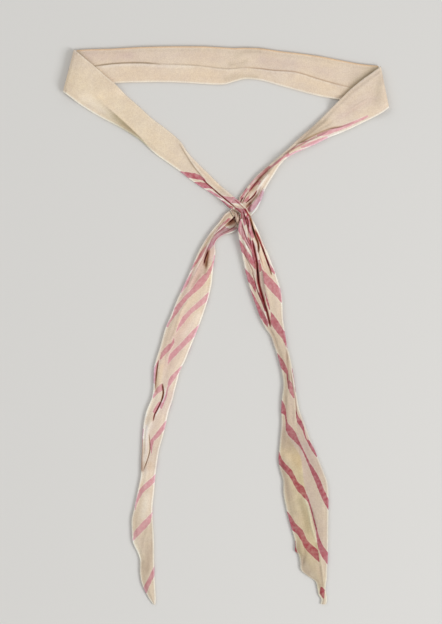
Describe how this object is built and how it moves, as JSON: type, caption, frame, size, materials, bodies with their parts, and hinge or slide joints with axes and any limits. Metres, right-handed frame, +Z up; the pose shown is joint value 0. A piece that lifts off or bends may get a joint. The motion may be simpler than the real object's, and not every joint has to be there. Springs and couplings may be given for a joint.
{
  "type": "cravat",
  "caption": "Narrow silk cravat laid out flat: folded neckband turned over at both corners, loose half knot and two striped tails.",
  "frame": {"origin": "middle of the cravat's underside, on the surface it lies on", "axes": "+X across the neckband to the picture's right, +Y along the cravat from the tails' tips to the neckband, +Z up off the surface"},
  "size_m": [0.228, 0.3908, 0.0083],
  "materials": {
    "silk_plain": "soft sheen",
    "silk_striped": "soft sheen, cream with pink diagonal stripes"
  },
  "bodies": {
    "root": {"neckband_back": "silk_plain", "neckband_left": "silk_plain", "neckband_right": "silk_plain", "knot_over": "silk_striped", "knot_wrap": "silk_striped", "knot_under": "silk_striped", "tail_left": "silk_striped", "tail_right": "silk_striped"}
  },
  "joints": []
}
